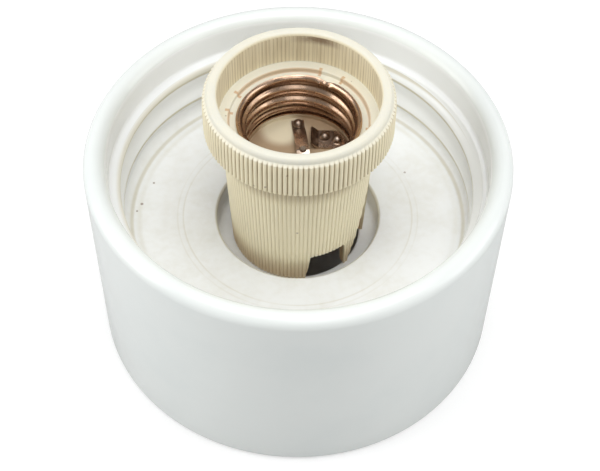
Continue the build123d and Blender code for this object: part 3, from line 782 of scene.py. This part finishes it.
class LAMPHOLDER_OT_porcelain_base(bpy.types.Operator):
    """Models the white glazed base with its globe thread"""

    bl_idname = "lampholder.porcelain_base"
    bl_label = "Porcelain Base"

    def execute(self, context):
        size = context.scene.lamp_base
        mm = MM
        rim_middle = 0.5 * (size.outer_r + size.entry_r)
        boss_z = size.ledge_z - BASE_WALL
        boss_r = size.hole_r + BASE_WALL
        ceiling_z = size.floor_z - FLOOR_WALL
        inner_wall = rounded(
            [
                (rim_middle, size.rim_z, 0),
                (size.entry_r, size.rim_z, size.rim_round),
                (size.entry_r, size.shelf_z, 0.7 * mm),
                (size.crest_r, size.shelf_z - 0.9 * mm, 0.6 * mm),
                (size.crest_r, size.floor_z, 2.2 * mm),
                (size.crest_r - 4 * mm, size.floor_z, 0),
            ],
            steps=6,
        )
        line = with_rows(inner_wall, 0.28 * mm)
        line += rounded(
            [
                (size.crest_r - 5 * mm, size.floor_z, 0),
                (size.hole_r, size.floor_z, 0.8 * mm),
                (size.hole_r, size.ledge_z, 0.6 * mm),
                (size.seat_r, size.ledge_z, 0.5 * mm),
                (size.seat_r, boss_z, 0.5 * mm),
                (boss_r, boss_z, 1.2 * mm),
                (boss_r, ceiling_z, 2.0 * mm),
                (size.cavity_r, ceiling_z, 3.0 * mm),
                (size.cavity_r, 0, 1.0 * mm),
                (size.outer_r, 0, 1.5 * mm),
                (size.outer_r, size.rim_z, size.rim_round),
                (rim_middle, size.rim_z, 0),
            ],
            steps=8,
        )[:-1]
        obj = turned("porcelain_base_glazed", line, 360, closed=True)

        def threaded(angle, r, z):
            on_wall = size.crest_r - 2.0 * mm <= r <= size.entry_r + 1.5 * mm
            if z < size.floor_z + 0.4 * mm or not on_wall:
                return r
            turns = (z - GLOBE_TOP_Z * mm) / size.pitch - (angle - radians(GLOBE_TOP_ANGLE)) / (2 * pi)
            offset = turns - floor(turns + 0.5)
            cut = size.crest_r + groove_depth(offset, size.groove_depth)
            runout = size.floor_z + 2.2 * mm - z
            if runout > 0:
                cut -= runout * 1.1
            return soft_max(r, cut, 0.5 * mm)

        reshape(obj, threaded)
        finish_piece(obj, finish("white_glaze"), ROOT, ["porcelain_base"], 60)
        return {"FINISHED"}


class LAMPHOLDER_OT_holder_body(bpy.types.Operator):
    """Models the cream ceramic holder with its ribbed skirt and collar"""

    bl_idname = "lampholder.holder_body"
    bl_label = "Holder Body"

    def execute(self, context):
        size = context.scene.lamp_holder
        base = context.scene.lamp_base
        skirt = self.skirt(size, base)
        collar = self.collar(size)
        obj = joined("holder_body_ceramic", [skirt, collar])
        finish_piece(obj, finish("fired_clay"), ROOT, ["holder_body"], 50)
        return {"FINISHED"}

    def skirt(self, size, base):
        """Tapering ribbed skirt with the well floor, lugs, wire notches and windows."""
        mm = MM
        foot_z = base.ledge_z
        neck_z = size.collar_z + 0.6 * mm
        pan_r = 12.5 * mm
        seat_z, well_z, under_z = 55.0 * mm, 54.0 * mm, 47.0 * mm
        outer = [
            (size.bore_r + 0.5 * mm, foot_z, 0),
            (size.foot_r, foot_z, 0.4 * mm),
            (size.neck_r, neck_z, 0),
        ]
        line = with_rows(rounded(outer, steps=3), 2.4 * mm)
        line += rounded(
            [
                (size.bore_r, neck_z, 0),
                (size.bore_r, seat_z, 0),
                (pan_r, seat_z, 0.2 * mm),
                (pan_r, well_z, 0.2 * mm),
                (0, well_z, 0),
                (0, under_z, 0),
                (size.bore_r, under_z, 1.0 * mm),
                (size.bore_r, foot_z, 0),
            ],
            steps=3,
        )
        obj = turned("holder_skirt", line, 880, closed=True)

        def ribbed(angle, r, z):
            if r < size.foot_r - 0.4 * mm:
                return r
            return r - size.rib_depth * (1 - rib_height(angle, SKIRT_RIBS))

        reshape(obj, ribbed)
        for half_turn in (0, 180):
            self.add_lug(obj, size, SCREW_AZIMUTH + half_turn)
        for half_turn in (0, 180):
            self.cut_openings(obj, size, half_turn)
        return obj

    def add_lug(self, obj, size, azimuth):
        """Square lug inside the skirt, with its screw hole and nut pocket."""
        mm = MM
        face_r, foot_z, top_z = 9.4 * mm, 30.0 * mm, 45.0 * mm
        nut_foot_z, nut_top_z = 39.9 * mm, 42.6 * mm
        depth = size.bore_r + 0.8 * mm - face_r
        lug = prism("lug", upright(3.6 * mm, foot_z, top_z), facing(azimuth, face_r), depth)
        bevelled(lug, 0.5 * mm)
        a = radians(azimuth)
        out = Vector((cos(a), sin(a), 0))
        deselect_all()
        middle = out * 11.9 * mm + Vector((0, 0, 0.5 * (foot_z + top_z)))
        bpy.ops.mesh.primitive_cylinder_add(vertices=32, radius=1.7 * mm, depth=20 * mm, location=middle)
        combine(lug, bpy.context.object, "DIFFERENCE")
        pocket = upright(2.85 * mm, nut_foot_z, nut_top_z)
        combine(lug, prism("pocket", pocket, facing(azimuth, face_r - 1 * mm), 6.2 * mm), "DIFFERENCE")
        combine(obj, lug, "UNION")

    def cut_openings(self, obj, size, half_turn):
        """Wire notch at the foot and the tall window beside it."""
        mm = MM
        foot = 26.0 * mm
        notch = [
            (-5.5 * mm, foot),
            (5.1 * mm, foot),
            (4.75 * mm, 35.6 * mm),
            (4.5 * mm, 36.2 * mm),
            (3.9 * mm, 36.4 * mm),
            (-3.7 * mm, 36.4 * mm),
            (-4.3 * mm, 36.2 * mm),
            (-4.5 * mm, 35.6 * mm),
        ]
        place = facing(NOTCH_AZIMUTH + half_turn, 7 * mm)
        combine(obj, prism("wire_notch", notch, place, 12 * mm), "DIFFERENCE")
        window = [
            (-5.1 * mm, foot),
            (5.5 * mm, foot),
            (6.4 * mm, 60.0 * mm),
            (3.8 * mm, 60.0 * mm),
            (2.9 * mm, 56.0 * mm),
            (1.7 * mm, 50.5 * mm),
            (0.4 * mm, 45.0 * mm),
            (-1.1 * mm, 40.0 * mm),
            (-2.6 * mm, 35.0 * mm),
            (-4.2 * mm, 31.2 * mm),
            (-4.9 * mm, 29.0 * mm),
        ]
        place = facing(WINDOW_AZIMUTH + half_turn, size.bore_r - 0.6 * mm)
        combine(obj, prism("side_window", window, place, 6 * mm), "DIFFERENCE")

    def collar(self, size):
        """Ribbed collar with its rounded rim, raised ring and step."""
        mm = MM
        plain_r = size.collar_r - size.collar_rib_depth
        line = rounded(
            [
                (size.neck_r - 1.0 * mm, size.collar_z, 0),
                (size.collar_r, size.collar_z, 0.35 * mm),
                (size.collar_r, size.rib_top_z - 0.3 * mm, 0.2 * mm),
                (plain_r, size.rib_top_z + 0.15 * mm, 0.2 * mm),
                (plain_r, size.top_z, size.lip_round),
                (size.collar_bore_r, size.top_z, 0.9 * mm),
                (size.collar_bore_r, size.ring_z, 0.3 * mm),
                (RING_R, size.ring_z, 0.2 * mm),
                (RING_R, size.step_z, 0.2 * mm),
                (size.bore_r, size.step_z, 0.2 * mm),
                (size.bore_r, size.collar_z, 0),
            ],
            steps=5,
        )
        line = with_rows(line, 1.6 * mm)
        obj = turned("holder_collar", line, 960, closed=True)

        def ribbed(angle, r, z):
            if r > size.collar_r - 1.9 * mm:
                share = 1 - max(0.0, min(1.0, (z - size.top_z + 2.2 * mm) / (1.0 * mm)))
                outer = max(0.0, min(1.0, (r - size.collar_r + 1.9 * mm) / (1.2 * mm)))
                return r - size.collar_rib_depth * (1 - rib_height(angle, COLLAR_RIBS) * share) * outer
            if abs(r - size.collar_bore_r) < 0.15 * mm and z > size.ring_z + 0.5 * mm:
                return r + 0.07 * mm * rib_height(angle, BORE_RIBS)
            return r

        reshape(obj, ribbed)
        for vertex in obj.data.vertices:
            x, y, z = vertex.co
            r = hypot(x, y)
            if abs(z - size.ring_z) < 0.45 * mm and RING_R - 0.3 * mm < r < size.collar_bore_r - 0.05 * mm:
                angle = atan2(y, x) * 180 / pi
                for notch in RING_NOTCHES:
                    away = abs((angle - notch + 180) % 360 - 180)
                    drop = max(0.0, min(1.0, (RING_NOTCH_HALF + 0.6 - away) / 1.2))
                    vertex.co.z = z - drop * (z - size.step_z - 0.02 * mm)
        return obj


class LAMPHOLDER_OT_thread_shell(bpy.types.Operator):
    """Models the rolled sheet-metal lamp thread"""

    bl_idname = "lampholder.thread_shell"
    bl_label = "Thread Shell"

    def execute(self, context):
        size = context.scene.lamp_shell
        mm = MM
        middle_r = 0.5 * (size.crest_r + size.root_r)
        swing = 0.5 * (size.root_r - size.crest_r)
        line = [(12.6 * mm, size.foot_z + 0.15 * mm), (13.1 * mm, size.foot_z + 0.15 * mm)]
        line += [(size.root_r, size.foot_z + 0.3 * mm), (size.root_r, size.foot_z + 0.9 * mm)]
        wall = [(middle_r, size.foot_z + 1.2 * mm), (middle_r, size.lip_z - 1.0 * mm)]
        line += with_rows(wall, 0.17 * mm)
        line += [
            (size.root_r + 0.05 * mm, size.lip_z - 0.65 * mm),
            (size.root_r + 0.28 * mm, size.lip_z - 0.2 * mm),
            (size.root_r + 0.50 * mm, size.lip_z - 0.05 * mm),
            (size.root_r + 0.68 * mm, size.lip_z - 0.25 * mm),
        ]
        obj = turned("thread_shell_rolled", line, 240, closed=False)

        def rolled(angle, r, z):
            if abs(r - middle_r) > 0.01 * mm:
                return r
            turns = (z - LAMP_START_Z * mm) / size.pitch - (angle - radians(LAMP_START_ANGLE)) / (2 * pi)
            wave = cos(2 * pi * turns)
            wave = wave * (1.25 - 0.25 * wave * wave)
            fade = min(1.0, max(0.0, (size.lip_z - 0.9 * mm - z) / (1.4 * mm)))
            fade_low = min(1.0, max(0.0, (z - size.foot_z - 1.1 * mm) / (0.9 * mm)))
            keep = fade * fade_low
            return middle_r + swing * (keep * wave + (1 - keep))

        reshape(obj, rolled)
        for vertex in obj.data.vertices:
            angle = atan2(vertex.co.y, vertex.co.x) * 180 / pi
            if vertex.co.z > size.lip_z - 0.9 * mm:
                away = (angle - LIP_DENT_ANGLE + 180) % 360 - 180
                vertex.co.z -= 0.7 * mm * exp(-((away / 7.0) ** 2))
        thick = obj.modifiers.new("sheet", "SOLIDIFY")
        thick.thickness = size.metal
        thick.offset = 1.0
        apply_all(obj)
        make_active(obj)
        bpy.ops.object.mode_set(mode="EDIT")
        bpy.ops.mesh.select_all(action="SELECT")
        bpy.ops.mesh.normals_make_consistent(inside=False)
        bpy.ops.object.mode_set(mode="OBJECT")
        finish_piece(obj, finish("copper_sheet"), ROOT, ["thread_shell"], 60)
        return {"FINISHED"}


class LAMPHOLDER_OT_contacts(bpy.types.Operator):
    """Finishes the sprung centre contact, the side contact and their rivets"""

    bl_idname = "lampholder.contacts"
    bl_label = "Contacts"

    def execute(self, context):
        for node in ("centre_contact", "centre_contact_rivet", "shell_contact", "shell_contact_rivets"):
            give_finish(node, "nickel_plate")
        return {"FINISHED"}


class LAMPHOLDER_OT_fixings(bpy.types.Operator):
    """Finishes the terminals, the bracket and its screws, washers and nuts"""

    bl_idname = "lampholder.fixings"
    bl_label = "Terminals and Bracket"

    def execute(self, context):
        for node in ("live_terminal", "neutral_terminal"):
            give_finish(node, "turned_brass")
        for node in ("terminal_screws", "mounting_bracket"):
            give_finish(node, "zinc_plate")
        for node in ("bracket_screws", "bracket_washers", "holder_nuts"):
            give_finish(node, "zinc_plate")
        return {"FINISHED"}


def give_finish(node, name):
    """Gives a CAD node that is kept its procedural material."""
    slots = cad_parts[node].data.materials
    slots.clear()
    slots.append(finish(name))


class LAMPHOLDER_OT_stage(bpy.types.Operator):
    """Adds the floor, the lights, the world and the camera"""

    bl_idname = "lampholder.stage"
    bl_label = "Stage"

    def execute(self, context):
        scene = context.scene
        scene.view_settings.view_transform = "Standard"
        deselect_all()
        bpy.ops.mesh.primitive_plane_add(size=6.0, location=(0, 0, -0.1 * MM))
        ground = context.object
        ground.name = "ground"
        ground.data.materials.append(self.ground_material())
        self.world(scene)
        self.lamps()
        self.camera(scene)
        return {"FINISHED"}

    def ground_material(self):
        """Pale floor that reads as white, keeps the shadow and is clear from below."""
        made = bpy.data.materials.new("pale_floor")
        made.use_nodes = True
        tree = made.node_tree
        recipe = Recipe(tree)
        shader = tree.nodes["Principled BSDF"]
        shader.inputs["Base Color"].default_value = (0.62, 0.62, 0.62, 1)
        shader.inputs["Roughness"].default_value = 0.9
        shader.inputs["Specular IOR Level"].default_value = 0.0
        seen = recipe.node("ShaderNodeLightPath").outputs["Is Camera Ray"]
        glow = recipe.times(seen, 0.42)
        tree.links.new(glow, shader.inputs["Emission Strength"])
        shader.inputs["Emission Color"].default_value = (1, 1, 1, 1)
        behind = recipe.node("ShaderNodeNewGeometry").outputs["Backfacing"]
        tree.links.new(recipe.math("SUBTRACT", 1.0, behind), shader.inputs["Alpha"])
        return made

    def world(self, scene):
        """Even soft light, white to the camera and a little dimmer in reflections."""
        world = bpy.data.worlds.new("soft_light")
        scene.world = world
        world.use_nodes = True
        tree = world.node_tree
        recipe = Recipe(tree)
        background = tree.nodes["Background"]
        paths = recipe.node("ShaderNodeLightPath").outputs
        for_gloss = recipe.times(paths["Is Glossy Ray"], 0.12)
        strength = recipe.math("SUBTRACT", 0.38, for_gloss)
        strength = recipe.most(paths["Is Camera Ray"], strength)
        background.inputs["Color"].default_value = (1, 1, 1, 1)
        tree.links.new(strength, background.inputs["Strength"])

    def lamps(self):
        """Large soft lamps above, in front and at both sides."""
        for name, place, size, power in (
            ("top", (0.03, -0.02, 0.80), 0.60, 3.4),
            ("front", (0.12, -0.50, 0.60), 0.35, 0.5),
            ("right", (0.60, -0.05, 0.30), 0.45, 1.3),
            ("left", (-0.60, -0.05, 0.30), 0.45, 2.0),
        ):
            deselect_all()
            way = -Vector(place) + Vector((0, 0, 0.04))
            bpy.ops.object.light_add(
                type="AREA", location=place, rotation=way.to_track_quat("-Z", "Y").to_euler()
            )
            lamp = bpy.context.object
            lamp.name = name
            lamp.data.size = size
            lamp.data.energy = power

    def camera(self, scene):
        """Camera at the photograph's angle, height and distance."""
        tip = radians(CAMERA_ELEVATION)
        place = Vector((0, -cos(tip), sin(tip))) * CAMERA_DISTANCE * MM
        ahead = Vector((0, cos(tip), -sin(tip)))
        above = Vector((0, sin(tip), cos(tip)))
        right = Vector((1, 0, 0))
        a, b, c = (radians(v) for v in (CAMERA_PAN, CAMERA_TILT, CAMERA_ROLL))
        ahead, right = ahead * cos(a) + right * sin(a), right * cos(a) - ahead * sin(a)
        ahead, above = ahead * cos(b) + above * sin(b), above * cos(b) - ahead * sin(b)
        right, above = right * cos(c) + above * sin(c), above * cos(c) - right * sin(c)
        deselect_all()
        bpy.ops.object.camera_add(location=place)
        camera = bpy.context.object
        turn = Matrix((right, above, -ahead)).transposed().to_4x4()
        camera.matrix_world = Matrix.Translation(place) @ turn
        camera.data.lens = LENS_MM
        camera.data.sensor_width = 36.0
        camera.data.sensor_fit = "HORIZONTAL"
        camera.data.clip_start = 0.01
        scene.camera = camera


class LAMPHOLDER_PT_panel(bpy.types.Panel):
    """Sizes, colours and building steps of the lamp holder"""

    bl_idname = "LAMPHOLDER_PT_panel"
    bl_label = "Ceramic Lamp Holder"
    bl_space_type = "VIEW_3D"
    bl_region_type = "UI"
    bl_category = "Lamp Holder"

    def draw(self, context):
        layout = self.layout
        for label, group in SETTINGS:
            box = layout.box()
            box.label(text=label)
            settings = getattr(context.scene, group)
            for key in settings.bl_rna.properties.keys():
                if key not in ("rna_type", "name"):
                    box.prop(settings, key)
        for step in STEPS:
            layout.operator(step.bl_idname)


STEPS = (
    LAMPHOLDER_OT_porcelain_base,
    LAMPHOLDER_OT_holder_body,
    LAMPHOLDER_OT_thread_shell,
    LAMPHOLDER_OT_contacts,
    LAMPHOLDER_OT_fixings,
    LAMPHOLDER_OT_stage,
)
SETTINGS = (
    ("Glazed base", "lamp_base"),
    ("Ceramic holder", "lamp_holder"),
    ("Lamp thread", "lamp_shell"),
    ("Finishes", "lamp_finish"),
)
CLASSES = (BaseSizes, HolderSizes, ShellSizes, FinishColours, *STEPS, LAMPHOLDER_PT_panel)


def register():
    for item in CLASSES:
        bpy.utils.register_class(item)
    for (label, group), kind in zip(SETTINGS, CLASSES):
        setattr(bpy.types.Scene, group, bpy.props.PointerProperty(type=kind, name=label))


def unregister():
    for label, group in SETTINGS:
        delattr(bpy.types.Scene, group)
    for item in reversed(CLASSES):
        bpy.utils.unregister_class(item)


def main():
    register()
    bpy.ops.lampholder.porcelain_base()
    bpy.ops.lampholder.holder_body()
    bpy.ops.lampholder.thread_shell()
    bpy.ops.lampholder.contacts()
    bpy.ops.lampholder.fixings()
    bpy.ops.lampholder.stage()
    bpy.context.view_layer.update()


if __name__ == "__main__":
    main()
